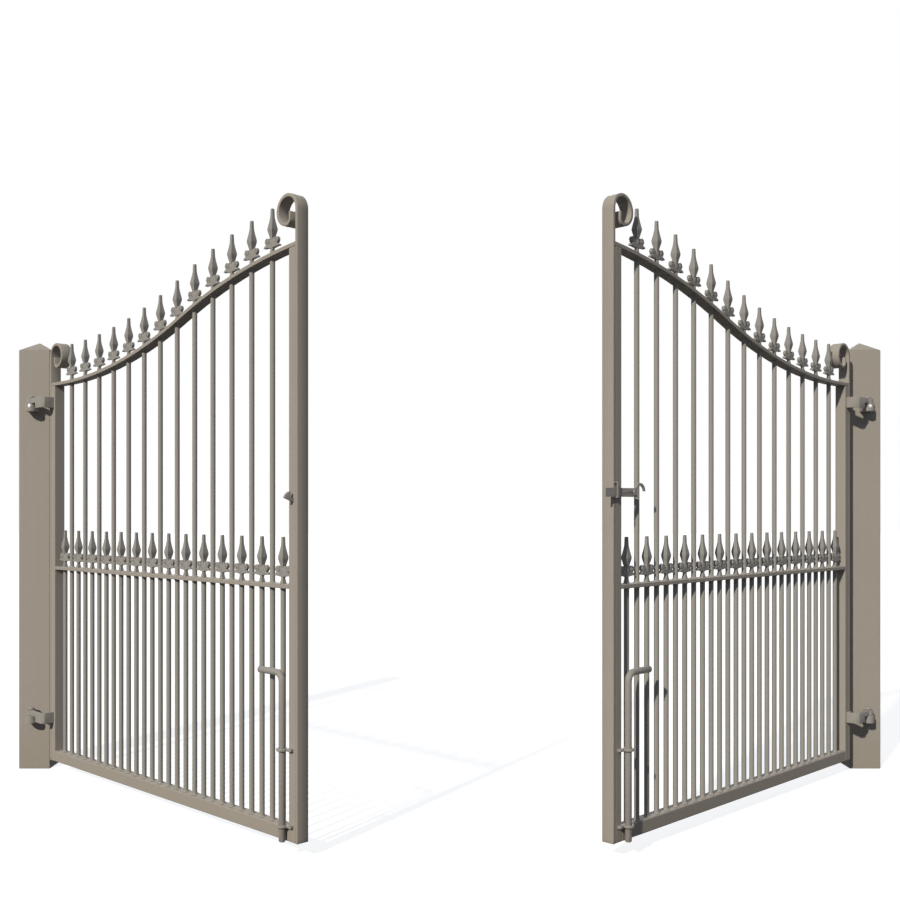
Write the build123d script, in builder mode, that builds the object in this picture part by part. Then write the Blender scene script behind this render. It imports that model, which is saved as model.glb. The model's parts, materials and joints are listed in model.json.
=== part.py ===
from build123d import *
from math import atan2, cos, degrees, radians, sin, sqrt, tan
import os

# Double-leaf metal driveway gate: two posts, two swan-necked leaves, their hinges, drop bolts and fall latch.
# Millimetres, +Z up. The gate line runs along +X from the left post, and the leaves open towards -Y.
# The origin is the middle of the left post's base, at ground level.
# The left side is modelled, and the right side is its mirror image about the middle of the opening.

# Opening and posts
post_spacing = 3204.0
post_side = 120.0
post_rise = 210.0
post_cap_height = 36.0

# Hinge axis, measured from the post, and the opening shown
pin_inboard = 0.0
pin_reach = 29.5
leaf_setback = 56.75
rest_opening = 45.0
ground_clearance = 48.0
meeting_gap = 17.0
hinge_standoff = 75.6

# Leaf frame
frame_depth = 40.0
stile_tube_width = 30.0
scroll_bar_thickness = 10.0
bottom_rail_height = 40.0
flat_rail_thickness = 12.0
mid_rail_underside = 724.8
weld_gap = 0.2

# Swan-necked top rail: two equal arcs, hollow by the hinge and crowned by the meeting stile
neck_low_height = 1426.2
neck_radius = 2326.0
neck_turn = 20.5

# Upright bars: dog bars and tall bars take turns, a dog bar at each end
bar_radius = 8.0
bar_sides = 6
tall_bar_count = 13
first_bar_gap = 45.5
last_bar_gap = 51.6

# Scrolls at the stiles' tops
scroll_radius = 48.9
scroll_curl_gap = 3.0
hinge_scroll_rise = 153.7
meeting_scroll_rise = 150.2

# Spear heads
spear_height = 136.5
spear_throat_height = 112.0
spear_shoulder_height = 74.3
spear_neck_height = 49.0
spear_tip_side = 8.7
spear_throat_side = 10.2
spear_shoulder_side = 22.4
spear_neck_side = 12.5
spear_foot_side = 15.0
spear_waist_side = 9.0
spear_foot_depth = 8.0
collar_half_width = 37.7
collar_thickness = 13.0
collar_low = 19.3
collar_high = 52.0
# Right half of the collar's outline: flared leaf, then curled lobe
collar_shares = (
    (0.14, 0.0),
    (1.0, 0.2),
    (0.62, 0.4),
    (0.86, 0.58),
    (0.6, 1.0),
)

# Hinges: a pin on an arm from the post, and a cranked strap with an eye on the leaf
upper_hinge_drop = 70.2
lower_hinge_rise = 164.7
arm_height = 29.0
arm_width = 44.0
pin_radius = 8.0
pin_fit = 0.05
pin_rise = 6.0
eye_radius = 18.0
eye_sides = 16
eye_height = 20.0
eye_float = 0.5
strap_thickness = 8.0
strap_lap = 33.0
strap_bend = 10.0
# The strap hangs below its eye from a step this far from the pin, and its face lies in front of the pin
strap_drop = 20.0
strap_step = 50.0
strap_front = 10.0

# Drop bolts
bolt_radius = 10.0
bolt_sides = 8
bolt_front = 33.6
bolt_inset = 13.2
bolt_handle_height = 484.6
bolt_handle_length = 107.9
bolt_bend_radius = 26.5
bolt_bend_step = 45.0
bolt_keeper_heights = (45.8, 264.7)
bolt_keeper_thickness = 8.0
bolt_keeper_wall = 7.0
bolt_keeper_lap = 22.0
keeper_sides = 8
bolt_slack = 0.5

# Fall latch: bar on the right leaf, catch on the left
latch_over_spears = 128.4
latch_bar_height = 25.5
latch_bar_thickness = 5.0
latch_clearance = 3.0
latch_overhang = 47.0
latch_tail_length = 106.4
latch_tail_radius = 24.4
latch_tail_sides = 20
latch_tail_width = 8.0
latch_tail_rise = 4.0
latch_pivot_inset = 92.1
latch_pivot_radius = 5.0
latch_head_radius = 9.0
latch_head_sides = 6
latch_head_thickness = 4.0
latch_boss_radius = 9.0
latch_boss_sides = 8
latch_float = 0.5
lug_thickness = 6.0
lug_height = 18.0
lug_end = 12.0
guide_width = 10.0
guide_wall = 3.0
guide_lift = 14.0
catch_width = 8.0
catch_reach = 33.0
catch_nose_height = 16.0
catch_depth = 12.0

# Places along the leaf, from the hinge axis
half_span = post_spacing / 2
leaf_start = hinge_standoff
leaf_end = half_span - pin_inboard - meeting_gap / 2
hinge_tube_start = leaf_start + scroll_bar_thickness
hinge_face = hinge_tube_start + stile_tube_width
meeting_tube_end = leaf_end - scroll_bar_thickness
meeting_face = meeting_tube_end - stile_tube_width
bar_count = 2 * tall_bar_count + 1
first_bar = hinge_face + first_bar_gap
bar_step = (meeting_face - last_bar_gap - first_bar) / (bar_count - 1)
dog_bar_places = [first_bar + bar_step * n for n in range(0, bar_count, 2)]
tall_bar_places = [first_bar + bar_step * n for n in range(1, bar_count, 2)]
half_depth = frame_depth / 2
half_flat = flat_rail_thickness / 2
mid_rail_top = mid_rail_underside + flat_rail_thickness
bar_seat = 2 * bar_radius

# Heights that follow from the leaf: hinges and post tops above the ground, the latch above the leaf's bottom
upper_arm_top = ground_clearance + neck_low_height - upper_hinge_drop
lower_arm_top = ground_clearance + lower_hinge_rise
post_height = upper_arm_top + post_rise
latch_height = mid_rail_top + spear_height + latch_over_spears

# The left leaf's planes: plan at the leaf's bottom, and elevation seen from the front
turn = radians(rest_opening)
along = Vector(cos(turn), -sin(turn), 0)
backward = Vector(sin(turn), cos(turn), 0)
pin_place = Vector(pin_inboard, -post_side / 2 - pin_reach, 0)
leaf_origin = pin_place + backward * leaf_setback + Vector(0, 0, ground_clearance)
plan = Plane(origin=leaf_origin, x_dir=along, z_dir=(0, 0, 1))
front = Plane(origin=leaf_origin, x_dir=along, z_dir=-backward)
middle_of_opening = Plane.YZ.offset(half_span)

# Swan neck: centres of its two arcs, in the front plane
neck_slope = radians(neck_turn)
low_centre = Vector(first_bar, neck_low_height + neck_radius)
crown_centre = low_centre + Vector(sin(neck_slope), -cos(neck_slope)) * 2 * neck_radius


def neck_height(place, rise):
    """Height of the swan neck's centre line, moved square to itself by rise, at a place along the leaf."""
    if place < low_centre.X:
        return neck_low_height + rise
    if place < low_centre.X + (neck_radius - rise) * sin(neck_slope):
        return low_centre.Y - sqrt((neck_radius - rise) ** 2 - (place - low_centre.X) ** 2)
    return crown_centre.Y + sqrt((neck_radius + rise) ** 2 - (place - crown_centre.X) ** 2)


hinge_scroll_top = neck_low_height + hinge_scroll_rise
meeting_scroll_top = neck_height(meeting_tube_end, 0) + meeting_scroll_rise
leaf_top = meeting_scroll_top + frame_depth


def arc_round(centre, start, end):
    """Arc from start to end on the circle about centre, the short way round."""
    radius = (start - centre).length
    bisector = ((start - centre) + (end - centre)).normalized()
    return ThreePointArc(start, centre + bisector * radius, end)


def neck_edge(start, end, rise):
    """Line of the swan neck, moved square to itself by rise, between two places along the leaf."""
    begin = Vector(start, neck_low_height + rise)
    flat_end = Vector(low_centre.X, neck_low_height + rise)
    change = low_centre + Vector(sin(neck_slope), -cos(neck_slope)) * (neck_radius - rise)
    finish = Vector(end, neck_height(end, rise))
    Line(begin, flat_end)
    arc_round(low_centre, flat_end, change)
    arc_round(crown_centre, change, finish)
    return begin, finish


def beyond_neck(height, rise):
    """The leaf's depth of space between a height and the swan neck's line moved by rise, flat at each bar."""
    stops = [leaf_start, hinge_face]
    for place in tall_bar_places:
        stops += [place - bar_seat, place + bar_seat]
    stops += [meeting_face, leaf_end]
    with BuildPart() as space:
        with BuildSketch(front):
            with BuildLine():
                Polyline(
                    *[(stop, neck_height(stop, rise)) for stop in stops],
                    (leaf_end, height),
                    (leaf_start, height),
                    close=True,
                )
            make_face()
        extrude(amount=frame_depth, both=True)
    return space.part


def save(piece, name):
    """Writes one named piece."""
    piece.part.label = name
    export_step(piece.part, f"parts/{name}.step")


def mirrored(piece):
    """The same piece on the other side of the opening."""
    with BuildPart() as other:
        mirror(piece.part, about=middle_of_opening)
    return other


def save_pair(piece, name):
    """Writes a piece of the left side and its mirror image on the right."""
    save(piece, f"left_{name}")
    save(mirrored(piece), f"right_{name}")


def post():
    with BuildPart() as shaft:
        Box(post_side, post_side, post_height, align=(Align.CENTER, Align.CENTER, Align.MIN))
    return shaft


def post_cap():
    with BuildPart() as cap:
        with BuildSketch(Plane.XY.offset(post_height)) as foot:
            Rectangle(post_side, post_side)
        loft(sections=(foot.sketch.face(), Vertex(0, 0, post_height + post_cap_height)))
    return cap


def hinge_arm(top):
    """Arm out of the post's inner face, with the pin that the leaf's eye drops over."""
    with BuildPart() as arm:
        with BuildSketch(Plane.XY.offset(top - arm_height)):
            with Locations((pin_place.X, -post_side / 2)):
                Rectangle(arm_width, pin_reach, align=(Align.CENTER, Align.MAX))
            with Locations((pin_place.X, pin_place.Y)):
                RegularPolygon(arm_width / 2, eye_sides)
        extrude(amount=arm_height)
        with BuildSketch(Plane.XY.offset(top)):
            with Locations((pin_place.X, pin_place.Y)):
                Circle(pin_radius)
        extrude(amount=eye_float + eye_height + pin_rise)
    return arm


def hinge_strap(top):
    """Strap bent along the stile's front face, square out from it, then outwards to an eye round the pin.

    The eye and the strap beside it are cut to half the height, so that they pass over the arm.
    """
    lap = leaf_start + strap_lap
    front_face = -leaf_setback - strap_front
    inner_lap = lap - strap_thickness
    inner_face = front_face + strap_thickness
    seat = top + eye_float - ground_clearance
    with BuildPart() as strap:
        with BuildSketch(plan.offset(seat - strap_drop)):
            with BuildLine():
                Polyline(
                    (leaf_start, -half_depth),
                    (lap, -half_depth),
                    (lap, front_face + strap_bend),
                    (lap - strap_bend, front_face),
                    (strap_step, front_face),
                    (strap_step, inner_face),
                    (inner_lap, inner_face),
                    (inner_lap, -half_depth - strap_thickness),
                    (leaf_start, -half_depth - strap_thickness),
                    close=True,
                )
            make_face()
        extrude(amount=strap_drop + eye_height)
        with BuildSketch(plan.offset(seat)):
            with Locations((0, front_face)):
                Rectangle(strap_step, strap_thickness, align=(Align.MIN, Align.MIN))
            with Locations((0, -leaf_setback)):
                RegularPolygon(eye_radius, eye_sides)
                RegularPolygon(pin_radius + pin_fit, eye_sides, major_radius=False, mode=Mode.SUBTRACT)
        extrude(amount=eye_height)
    return strap


def stile_tube(start):
    """Box section of a stile, cut to the top rail's underside."""
    above = beyond_neck(leaf_top, -half_flat - weld_gap)
    with BuildPart() as tube:
        with BuildSketch(plan):
            with Locations((start, 0)):
                Rectangle(stile_tube_width, frame_depth, align=(Align.MIN, Align.CENTER))
        extrude(amount=meeting_scroll_top)
        add(above, mode=Mode.SUBTRACT)
    return tube


def scroll_bar(outer, inward, top):
    """Flat bar up the stile's outer edge, curled inwards at its top."""
    eye = top - scroll_radius
    wall = scroll_bar_thickness
    curl_radius = scroll_radius - (wall + scroll_curl_gap) / 2
    curl_centre = 2 * scroll_radius - curl_radius

    def at(inset, height):
        return Vector(outer + inward * inset, height)

    far = 2 * scroll_radius
    tail = wall + scroll_curl_gap
    with BuildPart() as bar:
        with BuildSketch(front):
            with BuildLine():
                Line(at(0, 0), at(0, eye))
                ThreePointArc(at(0, eye), at(scroll_radius, top), at(far, eye))
                ThreePointArc(at(far, eye), at(curl_centre, eye - curl_radius), at(tail, eye))
                Line(at(tail, eye), at(tail + wall, eye))
                curl_low = eye - curl_radius + wall
                ThreePointArc(at(tail + wall, eye), at(curl_centre, curl_low), at(far - wall, eye))
                ThreePointArc(at(far - wall, eye), at(scroll_radius, top - wall), at(wall, eye))
                Polyline(at(wall, eye), at(wall, 0), at(0, 0))
            make_face()
        extrude(amount=half_depth, both=True)
    return bar


def straight_rail(underside, height):
    """Level rail between the stiles."""
    with BuildPart() as rail:
        with BuildSketch(plan.offset(underside)):
            with Locations((hinge_face, 0)):
                Rectangle(meeting_face - hinge_face, frame_depth, align=(Align.MIN, Align.CENTER))
        extrude(amount=height)
    return rail


def top_rail():
    """Swan-necked flat bar that runs over both stile tubes to the scroll bars."""
    with BuildPart() as rail:
        with BuildSketch(front):
            with BuildLine():
                top_begin, top_finish = neck_edge(hinge_tube_start, meeting_tube_end, half_flat)
                low_begin, low_finish = neck_edge(hinge_tube_start, meeting_tube_end, -half_flat)
                Line(top_begin, low_begin)
                Line(top_finish, low_finish)
            make_face()
        extrude(amount=half_depth, both=True)
    return rail


def tall_bars():
    """Tall bars: a lower and an upper length each, welded to the rails that they meet.

    The round bars are drawn with few sides.
    """
    above = beyond_neck(leaf_top, -half_flat - weld_gap)
    with BuildPart() as bars:
        with BuildSketch(plan.offset(mid_rail_top)):
            with Locations([(place, 0) for place in tall_bar_places]):
                RegularPolygon(bar_radius, bar_sides)
        extrude(amount=meeting_scroll_top - mid_rail_top)
        add(above, mode=Mode.SUBTRACT)
        with BuildSketch(plan.offset(bottom_rail_height)):
            with Locations([(place, 0) for place in tall_bar_places]):
                RegularPolygon(bar_radius, bar_sides)
        extrude(amount=mid_rail_underside - bottom_rail_height)
    return bars


def dog_bars():
    """Short bars between the bottom rail and the middle rail."""
    with BuildPart() as bars:
        with BuildSketch(plan.offset(bottom_rail_height)):
            with Locations([(place, 0) for place in dog_bar_places]):
                RegularPolygon(bar_radius, bar_sides)
        extrude(amount=mid_rail_underside - bottom_rail_height)
    return bars


def spear():
    """Spear head, foot at the origin: tapered foot, leafed and lobed collar, four-sided blade, blunt tip."""
    collar_rise = collar_high - collar_low
    right = [(x * collar_half_width, collar_low + z * collar_rise) for x, z in collar_shares]
    left = [(-x, z) for x, z in reversed(right)]
    foot = (-spear_foot_depth, spear_foot_side)
    waist = (collar_low + collar_rise / 2, spear_waist_side)
    neck = (spear_neck_height, spear_neck_side)
    shoulder = (spear_shoulder_height, spear_shoulder_side)
    throat = (spear_throat_height, spear_throat_side)
    tip = (spear_height, spear_tip_side)
    lengths = ((foot, waist), (neck, shoulder), (shoulder, throat), (throat, tip))
    with BuildPart() as head:
        for (low, side), (high, top_side) in lengths:
            with BuildSketch(Plane.XY.offset(low)):
                Rectangle(side, side)
            extrude(amount=high - low, taper=degrees(atan2(side - top_side, 2 * (high - low))))
        with BuildSketch(Plane.XZ):
            with BuildLine():
                Polyline(*right, *left, close=True)
            make_face()
        extrude(amount=collar_thickness / 2, both=True)
    return head


def tall_spears(head):
    """Spear heads over the tall bars, seated on the swan neck."""
    below = beyond_neck(mid_rail_top, half_flat + weld_gap)
    feet = [(place, 0, neck_height(place, half_flat)) for place in tall_bar_places]
    with BuildPart() as spears:
        add([head.part.moved(plan.location * Location(foot)) for foot in feet])
        add(below, mode=Mode.SUBTRACT)
    return spears


def dog_spears(head):
    """Spear heads over the dog bars, seated on the middle rail."""
    feet = [(place, 0, mid_rail_top) for place in dog_bar_places]
    with BuildPart() as spears:
        add([head.part.moved(plan.location * Location(foot)) for foot in feet])
        with BuildSketch(plan.offset(mid_rail_underside)):
            with Locations((leaf_start, 0)):
                Rectangle(leaf_end - leaf_start, frame_depth, align=(Align.MIN, Align.CENTER))
        extrude(amount=flat_rail_thickness, mode=Mode.SUBTRACT)
    return spears


bolt_place = meeting_face - bolt_inset


def drop_bolt():
    """Round rod, drawn with few sides, beside the meeting stile, its top bent over as a handle."""
    rod_plane = Plane(origin=front.origin + front.z_dir * bolt_front, x_dir=front.x_dir, z_dir=front.z_dir)
    bend = bolt_bend_radius * tan(radians(bolt_bend_step / 2))
    shoulder = bolt_handle_height - bolt_bend_radius
    with BuildPart() as bolt:
        with BuildLine(rod_plane) as route:
            Polyline(
                (bolt_place, 0),
                (bolt_place, shoulder + bend),
                (bolt_place - bolt_bend_radius + bend, bolt_handle_height),
                (bolt_place - bolt_handle_length, bolt_handle_height),
            )
        with BuildSketch(Plane(origin=route.line @ 0, z_dir=route.line % 0)):
            RegularPolygon(bolt_radius, bolt_sides)
        sweep(transition=Transition.RIGHT)
    return bolt


def drop_bolt_keepers():
    """Two eye plates on the stile's front face that guide the rod."""
    with BuildPart() as keepers:
        for height in bolt_keeper_heights:
            with BuildSketch(plan.offset(height - bolt_keeper_thickness / 2)):
                with Locations((bolt_place, -half_depth)):
                    Rectangle(
                        bolt_inset + bolt_keeper_lap,
                        bolt_front - half_depth,
                        align=(Align.MIN, Align.MAX),
                    )
                with Locations((bolt_place, -bolt_front)):
                    RegularPolygon(bolt_radius + bolt_keeper_wall, keeper_sides)
                    RegularPolygon(bolt_radius + bolt_slack, bolt_sides, mode=Mode.SUBTRACT)
            extrude(amount=bolt_keeper_thickness)
    return keepers


latch_back = half_depth + latch_clearance
latch_front = latch_back + latch_bar_thickness
latch_low = latch_height - latch_bar_height / 2
latch_pivot = leaf_end - latch_pivot_inset
latch_tail_end = leaf_end - latch_tail_length
guide_place = leaf_end - guide_width / 2


def latch_bar():
    """Fall bar with a curled tail, hung on its pivot at the tail end."""
    tail_centre = latch_tail_end + latch_tail_width - latch_tail_radius
    with BuildPart() as bar:
        with BuildSketch(front.offset(latch_back)):
            with Locations((latch_tail_end, latch_low)):
                Rectangle(
                    leaf_end + latch_overhang - latch_tail_end,
                    latch_bar_height,
                    align=(Align.MIN, Align.MIN),
                )
            with Locations((tail_centre, latch_height + latch_tail_rise)):
                RegularPolygon(latch_tail_radius, latch_tail_sides)
                RegularPolygon(latch_tail_radius - latch_tail_width, latch_tail_sides, mode=Mode.SUBTRACT)
            with Locations((latch_tail_end, latch_height + latch_tail_rise)):
                Rectangle(
                    2 * latch_tail_radius,
                    latch_tail_radius,
                    align=(Align.MAX, Align.MAX),
                    mode=Mode.SUBTRACT,
                )
            with Locations((latch_pivot, latch_height)):
                Circle(latch_pivot_radius + pin_fit, mode=Mode.SUBTRACT)
        extrude(amount=latch_bar_thickness)
    return bar


def latch_lug():
    """Lug on the last tall bar, with the boss, pin and head that the fall bar turns on."""
    lug_start = tall_bar_places[-1] + bar_radius
    with BuildPart() as lug:
        with BuildSketch(front):
            with Locations((lug_start, latch_height)):
                Rectangle(latch_pivot + lug_end - lug_start, lug_height, align=(Align.MIN, Align.CENTER))
        extrude(amount=lug_thickness / 2, both=True)
        with BuildSketch(front):
            with Locations((latch_pivot, latch_height)):
                RegularPolygon(latch_boss_radius, latch_boss_sides)
        extrude(amount=latch_back - latch_float)
        with BuildSketch(front):
            with Locations((latch_pivot, latch_height)):
                Circle(latch_pivot_radius)
        extrude(amount=latch_front + latch_float)
        with BuildSketch(front.offset(latch_front + latch_float)):
            with Locations((latch_pivot, latch_height)):
                RegularPolygon(latch_head_radius, latch_head_sides)
        extrude(amount=latch_head_thickness)
    return lug


def latch_guide():
    """Staple on the meeting stile that the fall bar rests in and rises in."""
    inner_low = latch_low - weld_gap
    inner_height = latch_bar_height + guide_lift + weld_gap
    reach = latch_front + latch_clearance - half_depth
    side = Plane(origin=plan.origin, x_dir=-backward, z_dir=-along).offset(-guide_place)
    with BuildPart() as guide:
        with BuildSketch(side):
            with Locations((half_depth, inner_low - guide_wall)):
                Rectangle(
                    reach + guide_wall,
                    inner_height + 2 * guide_wall,
                    align=(Align.MIN, Align.MIN),
                )
            with Locations((half_depth, inner_low)):
                Rectangle(reach, inner_height, align=(Align.MIN, Align.MIN), mode=Mode.SUBTRACT)
        extrude(amount=guide_width / 2, both=True)
    return guide


def latch_catch():
    """Nosed catch on the left meeting stile, with the notch that the fall bar drops into."""
    side = Plane(origin=plan.origin, x_dir=backward, z_dir=along).offset(leaf_end - frame_depth / 2)
    floor = latch_low - latch_clearance
    nose_back = -latch_front - latch_clearance
    nose_tip = -half_depth - catch_reach
    nose_top = latch_low + catch_nose_height
    with BuildPart() as catch:
        with BuildSketch(side):
            with BuildLine():
                Polyline(
                    (-half_depth, floor - catch_depth),
                    (-half_depth, floor),
                    (nose_back, floor),
                    (nose_back, nose_top),
                )
                ThreePointArc(
                    (nose_back, nose_top),
                    ((nose_back + nose_tip) / 2, (floor + nose_top) / 2 + catch_nose_height / 3),
                    (nose_tip, floor),
                )
                Line((nose_tip, floor), (-half_depth, floor - catch_depth))
            make_face()
        extrude(amount=catch_width / 2, both=True)
    return catch


os.makedirs("parts", exist_ok=True)

save_pair(post(), "post")
save_pair(post_cap(), "post_cap")
save_pair(hinge_arm(upper_arm_top), "upper_hinge_arm")
save_pair(hinge_arm(lower_arm_top), "lower_hinge_arm")
save_pair(hinge_strap(upper_arm_top), "upper_hinge_strap")
save_pair(hinge_strap(lower_arm_top), "lower_hinge_strap")
save_pair(stile_tube(hinge_tube_start), "hinge_stile")
save_pair(stile_tube(meeting_face), "meeting_stile")
save_pair(scroll_bar(leaf_start, 1, hinge_scroll_top), "hinge_scroll")
save_pair(scroll_bar(leaf_end, -1, meeting_scroll_top), "meeting_scroll")
save_pair(straight_rail(0, bottom_rail_height), "bottom_rail")
save_pair(straight_rail(mid_rail_underside, flat_rail_thickness), "middle_rail")
save_pair(top_rail(), "top_rail")
save_pair(tall_bars(), "tall_bars")
save_pair(dog_bars(), "dog_bars")
spear_head = spear()
save_pair(tall_spears(spear_head), "tall_spears")
save_pair(dog_spears(spear_head), "dog_spears")
save_pair(drop_bolt(), "drop_bolt")
save_pair(drop_bolt_keepers(), "drop_bolt_keepers")
save(mirrored(latch_bar()), "latch_bar")
save(mirrored(latch_lug()), "latch_lug")
save(mirrored(latch_guide()), "latch_guide")
save(latch_catch(), "latch_catch")
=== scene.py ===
import json
import math

import bmesh
import bpy
from mathutils import Matrix, Vector


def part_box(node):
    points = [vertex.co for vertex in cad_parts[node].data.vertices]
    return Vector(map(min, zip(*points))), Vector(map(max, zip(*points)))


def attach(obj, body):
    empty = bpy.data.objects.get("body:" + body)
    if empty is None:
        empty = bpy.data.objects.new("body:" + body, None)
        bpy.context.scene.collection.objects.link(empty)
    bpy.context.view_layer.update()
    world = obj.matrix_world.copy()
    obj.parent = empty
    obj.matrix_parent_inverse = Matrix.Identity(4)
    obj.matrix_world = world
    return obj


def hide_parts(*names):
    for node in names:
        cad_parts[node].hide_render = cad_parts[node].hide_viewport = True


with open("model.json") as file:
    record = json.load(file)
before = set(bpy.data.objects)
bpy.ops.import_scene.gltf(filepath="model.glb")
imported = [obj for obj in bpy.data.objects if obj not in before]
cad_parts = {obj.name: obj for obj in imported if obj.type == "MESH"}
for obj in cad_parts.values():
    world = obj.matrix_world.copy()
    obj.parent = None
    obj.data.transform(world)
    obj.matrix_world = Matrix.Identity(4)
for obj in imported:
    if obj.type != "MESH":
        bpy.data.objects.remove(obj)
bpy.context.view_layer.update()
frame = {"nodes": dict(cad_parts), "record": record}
nodes = frame["nodes"]

# Sizes in metres: places along a leaf start at its hinge pin, heights on it at its bottom
HALF_SPAN = 1.602
PIN = Vector((0.0, -0.0895, 0.0))
SETBACK = 0.05675
CLEARANCE = 0.048
HALF_DEPTH = 0.020
LEAF_START = 0.0756
LEAF_END = 1.5935
FIRST_BAR = 0.1611
BAR_STEP = 1.3408 / 26
BAR_COUNT = 27
BAR_RADIUS = 0.008
BOTTOM_RAIL_TOP = 0.040
MID_RAIL_UNDER = 0.7248
MID_RAIL_TOP = 0.7368
NECK_LOW = 1.4262
NECK_RADIUS = 2.326
NECK_TURN = math.radians(20.5)
RAIL_HALF = 0.006
BOLT_PLACE = 1.5403
BOLT_FRONT = 0.0336
BOLT_RADIUS = 0.010
BOLT_TOP = 0.4846
BOLT_HANDLE = 0.1079
BOLT_BEND = 0.0265
KEEPERS = (0.0458, 0.2647)
# Heights above the ground
ARM_TOPS = {"upper": 1.4040, "lower": 0.2127}
EYE_RISE = 0.0205

# From leaf measures to the left leaf at rest, half open, and over to the right side
TURN = math.radians(45)
ALONG = Vector((math.cos(TURN), -math.sin(TURN), 0))
BACK = Vector((math.sin(TURN), math.cos(TURN), 0))
LEAF_ORIGIN = PIN + BACK * SETBACK + Vector((0, 0, CLEARANCE))
LEFT_LEAF = Matrix((
    (ALONG.x, BACK.x, 0, LEAF_ORIGIN.x),
    (ALONG.y, BACK.y, 0, LEAF_ORIGIN.y),
    (0, 0, 1, LEAF_ORIGIN.z),
    (0, 0, 0, 1),
))
MIRROR = Matrix.Translation((2 * HALF_SPAN, 0, 0)) @ Matrix.Diagonal((-1, 1, 1, 1))
SIDES = ("left", "right")

DOG_PLACES = [FIRST_BAR + BAR_STEP * n for n in range(0, BAR_COUNT, 2)]
TALL_PLACES = [FIRST_BAR + BAR_STEP * n for n in range(1, BAR_COUNT, 2)]


def neck_height(place, rise):
    """Height of the swan neck, moved square to itself by rise, above the leaf's bottom."""
    low_z = NECK_LOW + NECK_RADIUS
    if place < FIRST_BAR + (NECK_RADIUS - rise) * math.sin(NECK_TURN):
        return low_z - math.sqrt((NECK_RADIUS - rise) ** 2 - max(0, place - FIRST_BAR) ** 2)
    crown_x = FIRST_BAR + 2 * NECK_RADIUS * math.sin(NECK_TURN)
    crown_z = low_z - 2 * NECK_RADIUS * math.cos(NECK_TURN)
    return crown_z + math.sqrt((NECK_RADIUS + rise) ** 2 - (place - crown_x) ** 2)


def neck_slope(place, rise):
    """Slope of the swan neck, as an angle."""
    step = 0.001
    return math.atan2(neck_height(place + step, rise) - neck_height(place - step, rise), 2 * step)


# Finishes


def link(tree, source, target):
    tree.links.new(source, target)


def group(name, inputs, outputs):
    """Empty shader group with its sockets."""
    tree = bpy.data.node_groups.new(name, "ShaderNodeTree")
    for label, kind, value in inputs:
        socket = tree.interface.new_socket(label, in_out="INPUT", socket_type=kind)
        socket.default_value = value
    for label, kind in outputs:
        tree.interface.new_socket(label, in_out="OUTPUT", socket_type=kind)
    return tree, tree.nodes.new("NodeGroupInput"), tree.nodes.new("NodeGroupOutput")


def math_node(tree, operation, first, second):
    """One sum on two values or sockets."""
    node = tree.nodes.new("ShaderNodeMath")
    node.operation = operation
    for socket, value in zip(node.inputs, (first, second)):
        if isinstance(value, (int, float)):
            socket.default_value = value
        else:
            link(tree, value, socket)
    return node.outputs[0]


def ramp(tree, value, low, high):
    """Value run from 0 at low to 1 at high."""
    node = tree.nodes.new("ShaderNodeMapRange")
    node.interpolation_type = "SMOOTHSTEP"
    link(tree, value, node.inputs["Value"])
    for label, edge in (("From Min", low), ("From Max", high)):
        if isinstance(edge, (int, float)):
            node.inputs[label].default_value = edge
        else:
            link(tree, edge, node.inputs[label])
    return node.outputs["Result"]


def mix_colour(tree, factor, first, second):
    node = tree.nodes.new("ShaderNodeMix")
    node.data_type = "RGBA"
    first_colour, second_colour, mixed = node.inputs[6], node.inputs[7], node.outputs[2]
    for socket, value in ((node.inputs["Factor"], factor), (first_colour, first), (second_colour, second)):
        if isinstance(value, (int, float, tuple)):
            socket.default_value = value
        else:
            link(tree, value, socket)
    return mixed


def noise(tree, vector, scale, detail, roughness=0.55):
    node = tree.nodes.new("ShaderNodeTexNoise")
    node.inputs["Detail"].default_value = detail
    node.inputs["Roughness"].default_value = roughness
    link(tree, vector, node.inputs["Vector"])
    if isinstance(scale, (int, float)):
        node.inputs["Scale"].default_value = scale
    else:
        link(tree, scale, node.inputs["Scale"])
    return node.outputs["Fac"]


def paint_skin_group():
    """Fine ripple of brushed and sprayed paint, as a height."""
    tree, given, out = group(
        "paint_skin",
        [("Ripple", "NodeSocketFloat", 420.0), ("Pits", "NodeSocketFloat", 0.2)],
        [("Height", "NodeSocketFloat")],
    )
    place = tree.nodes.new("ShaderNodeTexCoord").outputs["Object"]
    ripple = noise(tree, place, scale=given.outputs["Ripple"], detail=2.0)
    cells = tree.nodes.new("ShaderNodeTexVoronoi")
    cells.inputs["Scale"].default_value = 160.0
    link(tree, place, cells.inputs["Vector"])
    pits = ramp(tree, cells.outputs["Distance"], low=0.0, high=0.22)
    pits = math_node(tree, "MULTIPLY", math_node(tree, "SUBTRACT", pits, 1.0), given.outputs["Pits"])
    link(tree, math_node(tree, "ADD", ripple, pits), out.inputs["Height"])
    return tree


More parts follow.
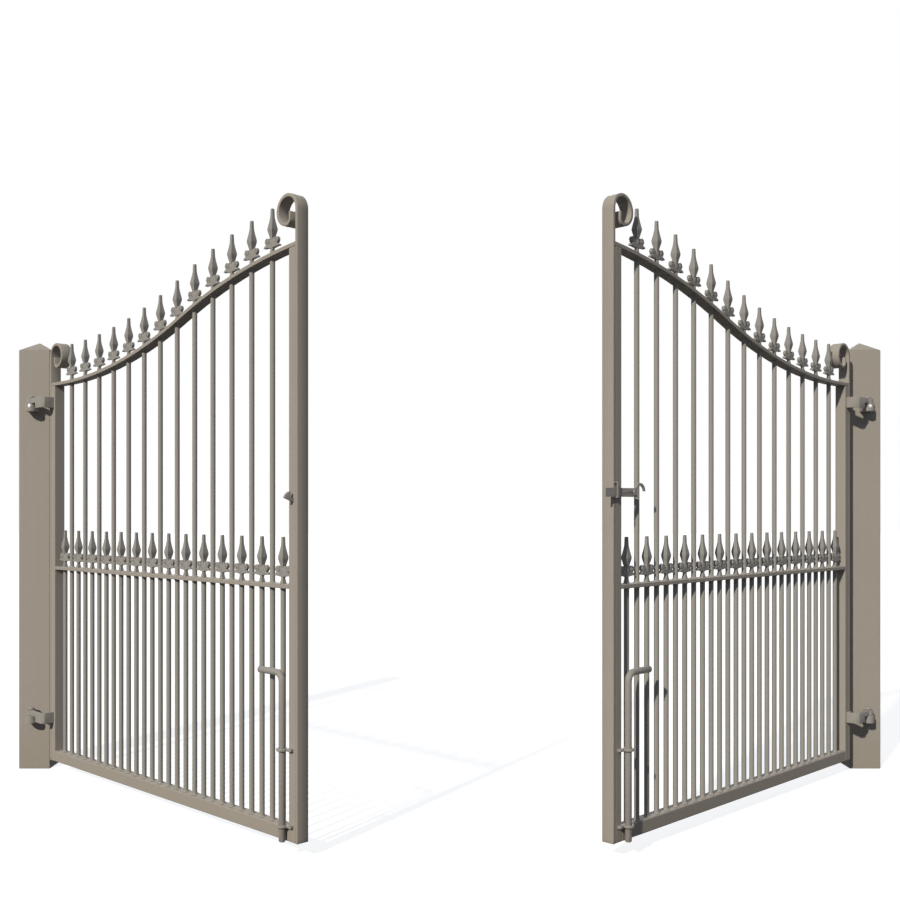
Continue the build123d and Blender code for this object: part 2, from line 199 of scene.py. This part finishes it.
def weather_group():
    """Paint colour gone uneven: broad mottle, rain streaks, and dust towards the ground."""
    tree, given, out = group(
        "weather",
        [
            ("Paint", "NodeSocketColor", (0.33, 0.295, 0.25, 1)),
            ("Faded", "NodeSocketColor", (0.40, 0.37, 0.33, 1)),
            ("Dust", "NodeSocketColor", (0.30, 0.26, 0.20, 1)),
            ("Mottle", "NodeSocketFloat", 0.25),
            ("Streaks", "NodeSocketFloat", 0.15),
            ("Splash", "NodeSocketFloat", 0.25),
        ],
        [("Colour", "NodeSocketColor"), ("Dull", "NodeSocketFloat")],
    )
    place = tree.nodes.new("ShaderNodeTexCoord").outputs["Object"]
    broad = ramp(tree, noise(tree, place, scale=5.0, detail=4.0), low=0.35, high=0.7)
    fine = ramp(tree, noise(tree, place, scale=60.0, detail=3.0), low=0.4, high=0.75)
    patch = math_node(tree, "MULTIPLY", math_node(tree, "ADD", broad, fine), 0.5)
    mottle = math_node(tree, "MULTIPLY", patch, given.outputs["Mottle"])
    drawn = tree.nodes.new("ShaderNodeMapping")
    drawn.inputs["Scale"].default_value = (90.0, 90.0, 2.2)
    link(tree, place, drawn.inputs["Vector"])
    streak = ramp(tree, noise(tree, drawn.outputs["Vector"], scale=1.0, detail=3.0), low=0.52, high=0.78)
    streak = math_node(tree, "MULTIPLY", streak, given.outputs["Streaks"])
    split = tree.nodes.new("ShaderNodeSeparateXYZ")
    link(tree, place, split.inputs[0])
    ragged = math_node(tree, "MULTIPLY", noise(tree, place, scale=24.0, detail=4.0), 0.22)
    clear_height = math_node(tree, "ADD", ragged, 0.12)
    clear = ramp(tree, split.outputs["Z"], low=0.0, high=clear_height)
    splash = math_node(tree, "MULTIPLY", math_node(tree, "SUBTRACT", 1.0, clear), given.outputs["Splash"])
    colour = mix_colour(tree, mottle, given.outputs["Paint"], given.outputs["Faded"])
    dusty = math_node(tree, "MINIMUM", math_node(tree, "ADD", streak, splash), 1.0)
    link(tree, mix_colour(tree, dusty, colour, given.outputs["Dust"]), out.inputs["Colour"])
    link(tree, math_node(tree, "ADD", mottle, dusty), out.inputs["Dull"])
    return tree


def edge_rub_group():
    """Mask of the outer edges, where hands and weather thin the paint."""
    tree, given, out = group(
        "edge_rub",
        [("Width", "NodeSocketFloat", 0.003), ("Amount", "NodeSocketFloat", 0.4)],
        [("Mask", "NodeSocketFloat")],
    )
    bevel = tree.nodes.new("ShaderNodeBevel")
    bevel.samples = 6
    link(tree, given.outputs["Width"], bevel.inputs["Radius"])
    surface = tree.nodes.new("ShaderNodeNewGeometry")
    dot = tree.nodes.new("ShaderNodeVectorMath")
    dot.operation = "DOT_PRODUCT"
    link(tree, bevel.outputs["Normal"], dot.inputs[0])
    link(tree, surface.outputs["Normal"], dot.inputs[1])
    turned = math_node(tree, "SUBTRACT", 1.0, dot.outputs["Value"])
    place = tree.nodes.new("ShaderNodeTexCoord").outputs["Object"]
    broken = ramp(tree, noise(tree, place, scale=130.0, detail=4.0), low=0.42, high=0.62)
    edge = math_node(tree, "MULTIPLY", ramp(tree, turned, low=0.02, high=0.2), broken)
    link(tree, math_node(tree, "MULTIPLY", edge, given.outputs["Amount"]), out.inputs["Mask"])
    return tree


PAINT_SKIN = paint_skin_group()
WEATHER = weather_group()
EDGE_RUB = edge_rub_group()


def place_group(tree, source, **values):
    """Puts a shader group in a material with its own values."""
    node = tree.nodes.new("ShaderNodeGroup")
    node.node_tree = source
    for label, value in values.items():
        node.inputs[label].default_value = value
    return node


def taupe_paint(name, paint, gloss, roughness, ripple, pits, bump, mottle, streaks, splash, rub):
    """Satin taupe paint on steel, with its skin, weathering and rubbed edges."""
    material = bpy.data.materials.new(name)
    material.use_nodes = True
    tree = material.node_tree
    shader = tree.nodes["Principled BSDF"]
    shader.inputs["Specular IOR Level"].default_value = gloss
    shader.inputs["Metallic"].default_value = 0.0
    weather = place_group(tree, WEATHER, Paint=(*paint, 1), Mottle=mottle, Streaks=streaks, Splash=splash)
    weather.inputs["Faded"].default_value = (*[min(1, c * 1.16 + 0.008) for c in paint], 1)
    weather.inputs["Dust"].default_value = (paint[0] * 0.86, paint[1] * 0.82, paint[2] * 0.76, 1)
    edges = place_group(tree, EDGE_RUB, Width=0.0035, Amount=rub)
    rubbed = (*[min(1, c * 1.35 + 0.03) for c in paint], 1)
    colour = mix_colour(tree, edges.outputs["Mask"], weather.outputs["Colour"], rubbed)
    link(tree, colour, shader.inputs["Base Color"])
    dull = math_node(tree, "MULTIPLY", weather.outputs["Dull"], 0.35)
    link(tree, math_node(tree, "ADD", dull, roughness), shader.inputs["Roughness"])
    skin = place_group(tree, PAINT_SKIN, Ripple=ripple, Pits=pits)
    height = tree.nodes.new("ShaderNodeBump")
    height.inputs["Strength"].default_value = bump
    height.inputs["Distance"].default_value = 0.0006
    link(tree, skin.outputs["Height"], height.inputs["Height"])
    link(tree, height.outputs["Normal"], shader.inputs["Normal"])
    return material


TAUPE = (0.357, 0.326, 0.291)
BAR_TAUPE = (0.327, 0.312, 0.291)
CASTING_TAUPE = (0.300, 0.289, 0.275)
HARDWARE_TAUPE = (0.315, 0.294, 0.275)
FINISHES = {
    "frame_paint": taupe_paint(
        "frame_paint", TAUPE, gloss=0.03, roughness=0.60, ripple=420.0, pits=0.1,
        bump=0.16, mottle=0.22, streaks=0.12, splash=0.25, rub=0.30,
    ),
    "bar_paint": taupe_paint(
        "bar_paint", BAR_TAUPE, gloss=0.05, roughness=0.56, ripple=380.0, pits=0.1,
        bump=0.16, mottle=0.22, streaks=0.08, splash=0.25, rub=0.15,
    ),
    "casting_paint": taupe_paint(
        "casting_paint", CASTING_TAUPE, gloss=0.05, roughness=0.58, ripple=300.0, pits=0.5,
        bump=0.34, mottle=0.34, streaks=0.05, splash=0.0, rub=0.45,
    ),
    "hardware_paint": taupe_paint(
        "hardware_paint", HARDWARE_TAUPE, gloss=0.12, roughness=0.44, ripple=340.0, pits=0.25,
        bump=0.22, mottle=0.30, streaks=0.10, splash=0.2, rub=0.55,
    ),
    "post_paint": taupe_paint(
        "post_paint", TAUPE, gloss=0.03, roughness=0.62, ripple=420.0, pits=0.1,
        bump=0.16, mottle=0.20, streaks=0.16, splash=0.35, rub=0.28,
    ),
}


def bright_zinc():
    """Plated steel with a fine grain, for small unpainted fittings."""
    material = bpy.data.materials.new("bright_zinc")
    material.use_nodes = True
    tree = material.node_tree
    shader = tree.nodes["Principled BSDF"]
    shader.inputs["Base Color"].default_value = (0.74, 0.74, 0.73, 1)
    shader.inputs["Metallic"].default_value = 1.0
    skin = place_group(tree, PAINT_SKIN, Ripple=600.0, Pits=0.1)
    grain = math_node(tree, "MULTIPLY", skin.outputs["Height"], 0.08)
    link(tree, math_node(tree, "ADD", grain, 0.24), shader.inputs["Roughness"])
    return material


BRIGHT_ZINC = bright_zinc()
NODE_SLOT = {part["node"]: part["material_slot"] for part in frame["record"]["subparts"]}
BODY_NODES = frame["record"]["behaviour"]["bodies"]
NODE_BODY = {node: body for body, members in BODY_NODES.items() for node in members}

for name, node in nodes.items():
    node.data.materials.clear()
    node.data.materials.append(FINISHES[NODE_SLOT[name]])


# Making and placing pieces

# Angles between faces, in degrees, past which an edge shows as sharp
FRAME_SHARP = 25.0
CASTING_SHARP = 40.0
ROD_SHARP = 50.0
HEAD_SHARP = 60.0
# Angle between faces, in degrees, past which an edge is eased
HARD = 40.0
# Points this near are one, and faces that turn less than this lie in one plane
MERGE_DISTANCE = 1e-5
FLAT = math.radians(0.5)


def finish_piece(name, shape, body, slot, smooth_angle=FRAME_SHARP):
    """Turns a bmesh into a painted object that rides on its body."""
    bmesh.ops.recalc_face_normals(shape, faces=shape.faces)
    mesh = bpy.data.meshes.new(name)
    shape.to_mesh(mesh)
    shape.free()
    mesh.polygons.foreach_set("use_smooth", [True] * len(mesh.polygons))
    mesh.set_sharp_from_angle(angle=math.radians(smooth_angle))
    mesh.materials.append(FINISHES[slot])
    piece = bpy.data.objects.new(name, mesh)
    bpy.context.scene.collection.objects.link(piece)
    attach(piece, body)
    return piece


def on_post(shape, side):
    """Moves a shape made at the left post over to its own side."""
    if side == "right":
        bmesh.ops.transform(shape, matrix=MIRROR, verts=shape.verts)


def on_side(shape, side):
    """Moves a shape from leaf measures to the left or right leaf."""
    bmesh.ops.transform(shape, matrix=LEFT_LEAF, verts=shape.verts)
    on_post(shape, side)


def hard_edges(shape, angle=HARD):
    """Edges whose two faces turn by more than an angle in degrees."""
    return [edge for edge in shape.edges if edge.calc_face_angle(0) > math.radians(angle)]


def ease(shape, edges, width, segments, clamp=False):
    """Bevels hard edges by a width."""
    bmesh.ops.bevel(
        shape, geom=edges, offset=width, offset_type="OFFSET", affect="EDGES", segments=segments, profile=0.5,
        material=-1, clamp_overlap=clamp,
    )


def verts_in(made):
    return [item for item in made if isinstance(item, bmesh.types.BMVert)]


def edges_in(made):
    return [item for item in made if isinstance(item, bmesh.types.BMEdge)]


def softened(name, width):
    """Copy of a solid with its hard edges eased, in the solid's place."""
    shape = bmesh.new()
    shape.from_mesh(nodes[name].data)
    bmesh.ops.remove_doubles(shape, verts=shape.verts, dist=MERGE_DISTANCE)
    bmesh.ops.dissolve_limit(
        shape, angle_limit=FLAT, verts=shape.verts, edges=shape.edges, delimit={"NORMAL"}
    )
    ease(shape, hard_edges(shape), width, segments=2, clamp=True)
    piece = finish_piece(f"{name}_eased", shape, NODE_BODY[name], NODE_SLOT[name])
    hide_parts(name)
    return piece


def ring(shape, radius, sides, matrix):
    """Open ring of edges."""
    made = bmesh.ops.create_circle(shape, cap_ends=False, segments=sides, radius=radius, matrix=matrix)
    return list({edge for vert in made["verts"] for edge in vert.link_edges})


def extend(shape, edges, shift=(0, 0, 0), scale=1.0, pivot=(0, 0, 0)):
    """Draws a ring of edges on by a step, with its size changed about a pivot."""
    made = bmesh.ops.extrude_edge_only(shape, edges=edges)["geom"]
    verts = verts_in(made)
    bmesh.ops.translate(shape, vec=shift, verts=verts)
    if scale != 1.0:
        about = Matrix.Translation(pivot)
        bmesh.ops.scale(shape, vec=(scale, scale, scale), verts=verts, space=about.inverted())
    return edges_in(made)


def lofted(shape, sections, sides, turn=0.0):
    """Solid through rings, each a height and a radius, on the vertical axis."""
    height, radius = sections[0]
    place = Matrix.Translation((0, 0, height)) @ Matrix.Rotation(turn, 4, "Z")
    edges = ring(shape, radius, sides, place)
    bmesh.ops.edgeloop_fill(shape, edges=edges)
    for next_height, next_radius in sections[1:]:
        edges = extend(shape, edges, (0, 0, next_height - height), next_radius / radius, (0, 0, next_height))
        height, radius = next_height, next_radius
    bmesh.ops.edgeloop_fill(shape, edges=edges)


def stamped(shape, mesh, matrices):
    """Adds copies of a mesh to a shape."""
    for matrix in matrices:
        before = len(shape.verts)
        shape.from_mesh(mesh)
        shape.verts.ensure_lookup_table()
        bmesh.ops.transform(shape, matrix=matrix, verts=shape.verts[before:])


def as_mesh(shape, name):
    """Turns a bmesh into a mesh to stamp."""
    bmesh.ops.recalc_face_normals(shape, faces=shape.faces)
    mesh = bpy.data.meshes.new(name)
    shape.to_mesh(mesh)
    shape.free()
    return mesh


# Spear heads

# Heights with half sides, up the blade and up the foot
SPEAR_BLADE = (
    (0.045, 0.0063), (0.053, 0.0067), (0.067, 0.0100), (0.0743, 0.0114), (0.0795, 0.0110), (0.098, 0.0073),
    (0.112, 0.0052), (0.1365, 0.0044),
)
SPEAR_FOOT = ((-0.0065, 0.0075), (0.004, 0.0068), (0.014, 0.0050), (0.034, 0.0052))
# Angle in degrees past which the casting's edges are ridges
SPEAR_RIDGE = 50.0
RIDGE_EASE = 0.0009
# Right half of the collar leaf's outline, as offsets and heights
COLLAR_LEAF = (
    (0.0, 0.0188), (0.011, 0.0208), (0.0255, 0.0228), (0.0377, 0.0228), (0.0345, 0.0285), (0.022, 0.0335),
    (0.0, 0.0365),
)
LEAF_HALF_THICK = 0.0058
LEAF_EASE = 0.0011
LOBE_PLACE = (0.0222, 0.0418)
LOBE_RADIUS = 0.0102
LOBE_SIDES = 14
# Lobe and heart, as heights with radii
LOBE = (
    (-0.0065, 0.0030), (-0.0048, 0.0038), (-0.0062, 0.0074), (-0.0044, LOBE_RADIUS),
    (0.0044, LOBE_RADIUS), (0.0062, 0.0074), (0.0048, 0.0038), (0.0065, 0.0030),
)
HEART = ((0.019, 0.0052), (0.027, 0.0098), (0.038, 0.0120), (0.047, 0.0096), (0.052, 0.0062))
HEART_SIDES = 10
HEART_STRETCH = (1.25, 0.62, 1.0)


def collar_leaf():
    """Flat leaf across the collar, with its rim eased."""
    leaf = bmesh.new()
    half = list(COLLAR_LEAF)
    outline = half + [(-x, z) for x, z in reversed(half[1:-1])]
    face = leaf.faces.new([leaf.verts.new((x, -LEAF_HALF_THICK, z)) for x, z in outline])
    made = bmesh.ops.extrude_face_region(leaf, geom=[face])["geom"]
    bmesh.ops.translate(leaf, vec=(0, 2 * LEAF_HALF_THICK, 0), verts=verts_in(made))
    ease(leaf, hard_edges(leaf), LEAF_EASE, segments=1)
    return as_mesh(leaf, "collar_leaf")


def spear_mesh():
    """Cast spear head: square foot, leaf collar with curled lobes, four-sided blade."""
    shape = bmesh.new()
    corner = math.sqrt(2)
    for sections in (SPEAR_BLADE, SPEAR_FOOT):
        lofted(shape, [(z, half * corner) for z, half in sections], 4, math.pi / 4)
    ease(shape, hard_edges(shape, SPEAR_RIDGE), RIDGE_EASE, segments=1)
    stamped(shape, collar_leaf(), [Matrix.Identity(4)])
    lobe = bmesh.new()
    lofted(lobe, LOBE, LOBE_SIDES)
    across = Matrix.Rotation(math.pi / 2, 4, "X")
    offset, height = LOBE_PLACE
    lobe_seats = [Matrix.Translation((sign * offset, 0, height)) @ across for sign in (-1, 1)]
    stamped(shape, as_mesh(lobe, "collar_lobe"), lobe_seats)
    heart = bmesh.new()
    lofted(heart, HEART, HEART_SIDES)
    bmesh.ops.scale(heart, vec=HEART_STRETCH, verts=heart.verts)
    stamped(shape, as_mesh(heart, "collar_heart"), [Matrix.Identity(4)])
    return as_mesh(shape, "spear_head")


spear = spear_mesh()
TALL_FEET = [Matrix.Translation((place, 0, neck_height(place, RAIL_HALF))) for place in TALL_PLACES]
DOG_FEET = [Matrix.Translation((place, 0, MID_RAIL_TOP)) for place in DOG_PLACES]

for side in SIDES:
    for row, feet in (("tall", TALL_FEET), ("dog", DOG_FEET)):
        shape = bmesh.new()
        stamped(shape, spear, feet)
        on_side(shape, side)
        name = f"{side}_{row}_spear_castings"
        piece = finish_piece(name, shape, f"{side}_leaf", "casting_paint", CASTING_SHARP)
        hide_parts(f"{side}_{row}_spears")


# Round bars and their welds

BAR_SIDES = 20
# How far the tall bars run up into the swan neck
BAR_BITE = 0.003
# Heights off the rail, with radii
WELD = ((0.0, 0.0112), (0.0007, 0.0110), (0.0018, 0.0098), (0.0030, 0.0087), (0.0042, 0.0079))
WELD_SIDES = 14


def bar_shape(spans):
    """Round bars, each a place along the leaf with its foot and top."""
    shape = bmesh.new()
    for place, foot, top in spans:
        bmesh.ops.create_cone(
            shape, cap_ends=True, segments=BAR_SIDES, radius1=BAR_RADIUS, radius2=BAR_RADIUS,
            depth=top - foot, matrix=Matrix.Translation((place, 0, (foot + top) / 2)),
        )
    return shape


def weld_mesh():
    """Small weld collar round a bar's end, its wide side on the rail."""
    shape = bmesh.new()
    lofted(shape, WELD, WELD_SIDES)
    return as_mesh(shape, "weld_collar")


weld = weld_mesh()
OVER = Matrix.Rotation(math.pi, 4, "X")

for side in SIDES:
    lower = [(place, BOTTOM_RAIL_TOP, MID_RAIL_UNDER) for place in TALL_PLACES]
    upper = [(place, MID_RAIL_TOP, neck_height(place, -RAIL_HALF) + BAR_BITE) for place in TALL_PLACES]
    shape = bar_shape(lower + upper)
    on_side(shape, side)
    piece = finish_piece(f"{side}_tall_round_bars", shape, f"{side}_leaf", "bar_paint")
    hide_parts(f"{side}_tall_bars")
    shape = bar_shape([(place, BOTTOM_RAIL_TOP, MID_RAIL_UNDER) for place in DOG_PLACES])
    on_side(shape, side)
    piece = finish_piece(f"{side}_dog_round_bars", shape, f"{side}_leaf", "bar_paint")
    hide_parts(f"{side}_dog_bars")
    seats = []
    for place in TALL_PLACES + DOG_PLACES:
        seats.append(Matrix.Translation((place, 0, BOTTOM_RAIL_TOP)))
        seats.append(Matrix.Translation((place, 0, MID_RAIL_UNDER)) @ OVER)
    for place in TALL_PLACES:
        seats.append(Matrix.Translation((place, 0, MID_RAIL_TOP)))
        slope = Matrix.Rotation(-neck_slope(place, -RAIL_HALF), 4, "Y")
        seats.append(Matrix.Translation((place, 0, neck_height(place, -RAIL_HALF))) @ slope @ OVER)
    shape = bmesh.new()
    stamped(shape, weld, seats)
    on_side(shape, side)
    finish_piece(f"{side}_bar_welds", shape, f"{side}_leaf", "bar_paint")


# Frame, posts and hardware with eased edges

# Widths of the eased edges
EASED = {
    "post": 0.003, "post_cap": 0.002, "hinge_stile": 0.0025, "meeting_stile": 0.0025,
    "bottom_rail": 0.003, "middle_rail": 0.0012, "top_rail": 0.0012,
    "upper_hinge_arm": 0.0015, "lower_hinge_arm": 0.0015,
    "upper_hinge_strap": 0.0012, "lower_hinge_strap": 0.0012,
}
LATCH_EASE = 0.0012

for side in SIDES:
    for part, width in EASED.items():
        softened(f"{side}_{part}", width)
for part in ("latch_bar", "latch_lug", "latch_guide", "latch_catch"):
    softened(part, LATCH_EASE)


# Scrolls at the stiles' tops

# Turns of the curl: outer radius, first and last angle in degrees, wall at the turn's end
SCROLL_TURNS = ((0.0489, 180, 0, 0.0100), (0.0445, 0, -90, 0.0085), (0.0200, -90, -180, 0.0070))
SCROLL_WALL = 0.010
SCROLL_TIP_DROP = 0.004
# Short lengths at both ends of the straight run, which keep its shading flat
SCROLL_RUN_END = 0.012
# Degrees between the points of the curl
SCROLL_STEP = 6
SCROLL_EASE = 0.0010


def ray_at(degrees):
    """Unit ray at an angle."""
    return Vector((math.cos(math.radians(degrees)), math.sin(math.radians(degrees))))


def scroll_edges(top):
    """Outer and inner edge of the curled bar, as points of inset and height."""
    eye = top - SCROLL_TURNS[0][0]
    run = (0, SCROLL_RUN_END, eye - SCROLL_RUN_END)
    outside = [Vector((0, z)) for z in run]
    inside = [Vector((SCROLL_WALL, z)) for z in run]
    corner = Vector((0, eye))
    wall = SCROLL_WALL
    first = 0
    for radius, begin, end, end_wall in SCROLL_TURNS:
        centre = corner - radius * ray_at(begin)
        steps = abs(end - begin) // SCROLL_STEP
        for step in range(first, steps + 1):
            share = step / steps
            ray = ray_at(begin + (end - begin) * share)
            outside.append(centre + ray * radius)
            inside.append(centre + ray * (radius - wall + (wall - end_wall) * share))
        corner = outside[-1]
        wall = end_wall
        first = 1
    tip = Vector((0, eye - SCROLL_TIP_DROP - corner.y))
    return outside + [corner + tip], inside + [inside[-1] + tip]


def scroll_shape(outer, inward, top):
    """Flat bar up a stile's outer edge that curls inwards in ever tighter turns."""
    outside, inside = scroll_edges(top)
    outline = outside + inside[::-1]
    shape = bmesh.new()
    corners = [shape.verts.new((outer + inward * inset, -HALF_DEPTH, z)) for inset, z in outline]
    made = bmesh.ops.extrude_face_region(shape, geom=[shape.faces.new(corners)])["geom"]
    bmesh.ops.translate(shape, vec=(0, 2 * HALF_DEPTH, 0), verts=verts_in(made))
    ease(shape, hard_edges(shape), SCROLL_EASE, segments=2)
    return shape


for side in SIDES:
    for part, outer, inward in (("hinge_scroll", LEAF_START, 1), ("meeting_scroll", LEAF_END, -1)):
        shape = scroll_shape(outer, inward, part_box(f"{side}_{part}")[1][2] - CLEARANCE)
        on_side(shape, side)
        piece = finish_piece(f"{side}_{part}_curl", shape, f"{side}_leaf", "frame_paint")
        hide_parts(f"{side}_{part}")


# Drop bolts

BOLT_SIDES = 24
BEND_STEPS = 12
# Chamfer at both ends of the rod: in from its side and along it
CHAMFER_IN = 0.0025
CHAMFER_LONG = 0.003
# Section of a keeper's eye: radii from the rod's middle, with heights
KEEPER_EYE = (
    (0.0105, -0.0030), (0.0115, -0.0040), (0.0155, -0.0040), (0.0170, -0.0026),
    (0.0170, 0.0026), (0.0155, 0.0040), (0.0115, 0.0040), (0.0105, 0.0030),
)
KEEPER_STEPS = 28
# Flat tail beside the eye: its size, how far along it lies and how far out its middle stands
TAIL_SIZE = (0.024, 0.011, 0.008)
TAIL_ALONG = 0.023
TAIL_FRONT = 0.0255
TAIL_EASE = 0.001


def drop_bolt_shape():
    """Round rod with its top bent over as a handle."""
    shape = bmesh.new()
    end_radius = BOLT_RADIUS - CHAMFER_IN
    start = Matrix.Translation((BOLT_PLACE, -BOLT_FRONT, 0.0))
    edges = ring(shape, end_radius, BOLT_SIDES, start)
    bmesh.ops.edgeloop_fill(shape, edges=edges)
    centre = Vector((BOLT_PLACE, -BOLT_FRONT, CHAMFER_LONG))
    edges = extend(shape, edges, (0, 0, CHAMFER_LONG), BOLT_RADIUS / end_radius, centre)
    edges = extend(shape, edges, (0, 0, BOLT_TOP - BOLT_BEND - CHAMFER_LONG))
    made = bmesh.ops.spin(
        shape, geom=edges, cent=(BOLT_PLACE - BOLT_BEND, -BOLT_FRONT, BOLT_TOP - BOLT_BEND), axis=(0, -1, 0),
        angle=math.pi / 2, steps=BEND_STEPS, use_duplicate=False,
    )["geom_last"]
    edges = extend(shape, edges_in(made), (-(BOLT_HANDLE - BOLT_BEND - CHAMFER_LONG), 0, 0))
    end = Vector((BOLT_PLACE - BOLT_HANDLE, -BOLT_FRONT, BOLT_TOP))
    edges = extend(shape, edges, (-CHAMFER_LONG, 0, 0), end_radius / BOLT_RADIUS, end)
    bmesh.ops.edgeloop_fill(shape, edges=edges)
    return shape


def keeper_shape():
    """Two forged eyes with flat tails on the stile's face."""
    shape = bmesh.new()
    for height in KEEPERS:
        verts = [shape.verts.new((BOLT_PLACE + r, -BOLT_FRONT, height + z)) for r, z in KEEPER_EYE]
        loop = [shape.edges.new((verts[n - 1], verts[n])) for n in range(len(verts))]
        bmesh.ops.spin(
            shape, geom=verts + loop, cent=(BOLT_PLACE, -BOLT_FRONT, height), axis=(0, 0, 1),
            angle=2 * math.pi, steps=KEEPER_STEPS, use_merge=True,
        )
        tail = bmesh.ops.create_cube(shape, size=1.0)["verts"]
        bmesh.ops.scale(shape, vec=TAIL_SIZE, verts=tail)
        bmesh.ops.translate(shape, vec=(BOLT_PLACE + TAIL_ALONG, -TAIL_FRONT, height), verts=tail)
        rims = list({edge for vert in tail for edge in vert.link_edges})
        ease(shape, rims, TAIL_EASE, segments=2)
    return shape


for side in SIDES:
    shape = drop_bolt_shape()
    on_side(shape, side)
    piece = finish_piece(f"{side}_bolt_rod", shape, f"{side}_bolt", "hardware_paint", ROD_SHARP)
    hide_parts(f"{side}_drop_bolt")
    shape = keeper_shape()
    on_side(shape, side)
    piece = finish_piece(f"{side}_bolt_eyes", shape, f"{side}_leaf", "hardware_paint")
    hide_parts(f"{side}_drop_bolt_keepers")


# Hinge pins: rounded heads, and a bright grease nipple in the round end of each upper arm

# Heights with radii
NIPPLE = (
    (0.0, 0.0064), (0.0022, 0.0064), (0.0027, 0.0050), (0.0046, 0.0044), (0.0058, 0.0030), (0.0064, 0.0008),
)
PIN_HEAD = (
    (0.0, 0.0105), (0.0016, 0.0118), (0.0046, 0.0118), (0.0076, 0.0096), (0.0096, 0.0058), (0.0102, 0.0012),
)
NIPPLE_SIDES = 16
HEAD_SIDES = 20
# Gap between the eye and the pin's head
HEAD_GAP = 0.0004
# How far the nipple lies in front of the pin's middle and below the arm's top
NIPPLE_REACH = 0.0205
NIPPLE_DROP = 0.0095

for side in SIDES:
    shape = bmesh.new()
    lofted(shape, NIPPLE, NIPPLE_SIDES)
    bmesh.ops.rotate(shape, matrix=Matrix.Rotation(math.radians(90), 3, "X"), verts=shape.verts)
    place = (PIN.x, PIN.y - NIPPLE_REACH, ARM_TOPS["upper"] - NIPPLE_DROP)
    bmesh.ops.translate(shape, vec=place, verts=shape.verts)
    on_post(shape, side)
    nipple = finish_piece(f"{side}_grease_nipple", shape, "posts", "hardware_paint", ROD_SHARP)
    nipple.data.materials[0] = BRIGHT_ZINC
    for level, top in ARM_TOPS.items():
        shape = bmesh.new()
        lofted(shape, PIN_HEAD, HEAD_SIDES)
        bmesh.ops.translate(shape, vec=(PIN.x, PIN.y, top + EYE_RISE + HEAD_GAP), verts=shape.verts)
        on_post(shape, side)
        finish_piece(f"{side}_{level}_pin_head", shape, "posts", "hardware_paint", HEAD_SHARP)


# Floor, light and camera

WHITE = (1, 1, 1, 1)
AMBIENT = (0.225, 0.25, 0.295, 1)
FLOOR_BOUNCE = (0.09, 0.09, 0.09, 1)
FLOOR_SHADE = (0.40, 0.40, 0.40, 1)
FLOOR_GLOW = 0.76
FLOOR_SIZE = 40.0


def seen_directly(tree):
    """1 for what the camera sees, also in metal and glass, and 0 for light on its way to the gate."""
    ray = tree.nodes.new("ShaderNodeLightPath")
    seen = math_node(tree, "MAXIMUM", ray.outputs["Is Camera Ray"], ray.outputs["Is Transmission Ray"])
    return math_node(tree, "MAXIMUM", seen, ray.outputs["Is Glossy Ray"])


world = bpy.data.worlds.new("studio")
bpy.context.scene.world = world
world.use_nodes = True
sky = world.node_tree
background = sky.nodes["Background"]
background.inputs["Strength"].default_value = 1.0
link(sky, mix_colour(sky, seen_directly(sky), AMBIENT, WHITE), background.inputs["Color"])


def pale_floor():
    """White floor that keeps the gate's shadow and throws little light back up."""
    material = bpy.data.materials.new("pale_floor")
    material.use_nodes = True
    tree = material.node_tree
    tree.nodes.clear()
    output = tree.nodes.new("ShaderNodeOutputMaterial")
    bounce = tree.nodes.new("ShaderNodeBsdfDiffuse")
    bounce.inputs["Color"].default_value = FLOOR_BOUNCE
    shade = tree.nodes.new("ShaderNodeBsdfDiffuse")
    shade.inputs["Color"].default_value = FLOOR_SHADE
    glow = tree.nodes.new("ShaderNodeEmission")
    glow.inputs["Color"].default_value = WHITE
    glow.inputs["Strength"].default_value = FLOOR_GLOW
    shown = tree.nodes.new("ShaderNodeAddShader")
    link(tree, shade.outputs[0], shown.inputs[0])
    link(tree, glow.outputs[0], shown.inputs[1])
    both = tree.nodes.new("ShaderNodeMixShader")
    link(tree, seen_directly(tree), both.inputs[0])
    link(tree, bounce.outputs[0], both.inputs[1])
    link(tree, shown.outputs[0], both.inputs[2])
    link(tree, both.outputs[0], output.inputs["Surface"])
    return material


shape = bmesh.new()
bmesh.ops.create_grid(shape, x_segments=1, y_segments=1, size=FLOOR_SIZE)
mesh = bpy.data.meshes.new("floor")
shape.to_mesh(mesh)
shape.free()
mesh.materials.append(pale_floor())
floor = bpy.data.objects.new("floor", mesh)
bpy.context.scene.collection.objects.link(floor)


def sun(name, toward, strength, colour, angle):
    """Sun lamp that stands in a direction from the gate."""
    lamp = bpy.data.lights.new(name, "SUN")
    lamp.energy = strength
    lamp.color = colour
    lamp.angle = math.radians(angle)
    holder = bpy.data.objects.new(name, lamp)
    holder.rotation_euler = Vector(toward).to_track_quat("Z", "Y").to_euler()
    bpy.context.scene.collection.objects.link(holder)


sun("key", toward=(-0.50, -0.86, 0.611), strength=3.1, colour=(1.0, 0.94, 0.82), angle=2.0)
sun("fill", toward=(0.0, 0.9, 0.42), strength=1.4, colour=(0.9, 0.95, 1.0), angle=20.0)

camera = bpy.data.cameras.new("view")
camera.sensor_width = 36.0
camera.lens = 44.576
camera.shift_x = 0.01776
camera.shift_y = 0.06483
holder = bpy.data.objects.new("view", camera)
holder.location = (1.5413, -4.3575, 1.004)
holder.rotation_euler = (math.radians(90), 0, 0)
bpy.context.scene.collection.objects.link(holder)
bpy.context.scene.camera = holder
bpy.context.scene.view_settings.view_transform = "Standard"
